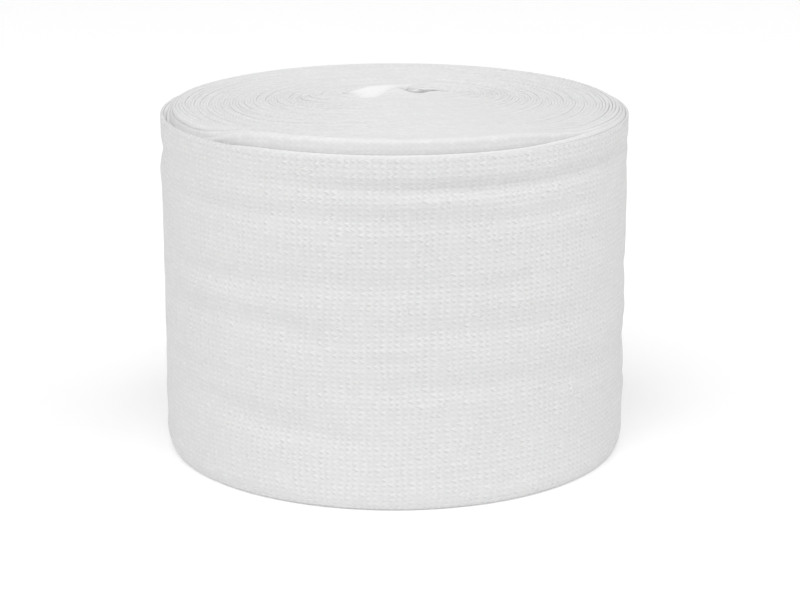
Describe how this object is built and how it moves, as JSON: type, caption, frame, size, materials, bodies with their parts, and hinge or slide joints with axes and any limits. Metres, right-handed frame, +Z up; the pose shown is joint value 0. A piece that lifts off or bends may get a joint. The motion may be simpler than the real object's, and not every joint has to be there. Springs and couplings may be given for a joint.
{
  "type": "tubular bandage roll",
  "caption": "Coreless roll of white knitted tubular bandage, wound flat and standing on its end, with a folded eye at the core.",
  "frame": {"origin": "centre of the roll's foot, on the surface that it stands on", "axes": "+Z up along the roll's axis, -Y the side that the picture shows, +X to the right there"},
  "size_m": [0.1364, 0.1364, 0.1069],
  "materials": {
    "knit": "bleached white plain cotton knit, matt, with fine V stitches that run round the roll"
  },
  "bodies": {
    "root": {"roll": "knit"}
  },
  "joints": []
}
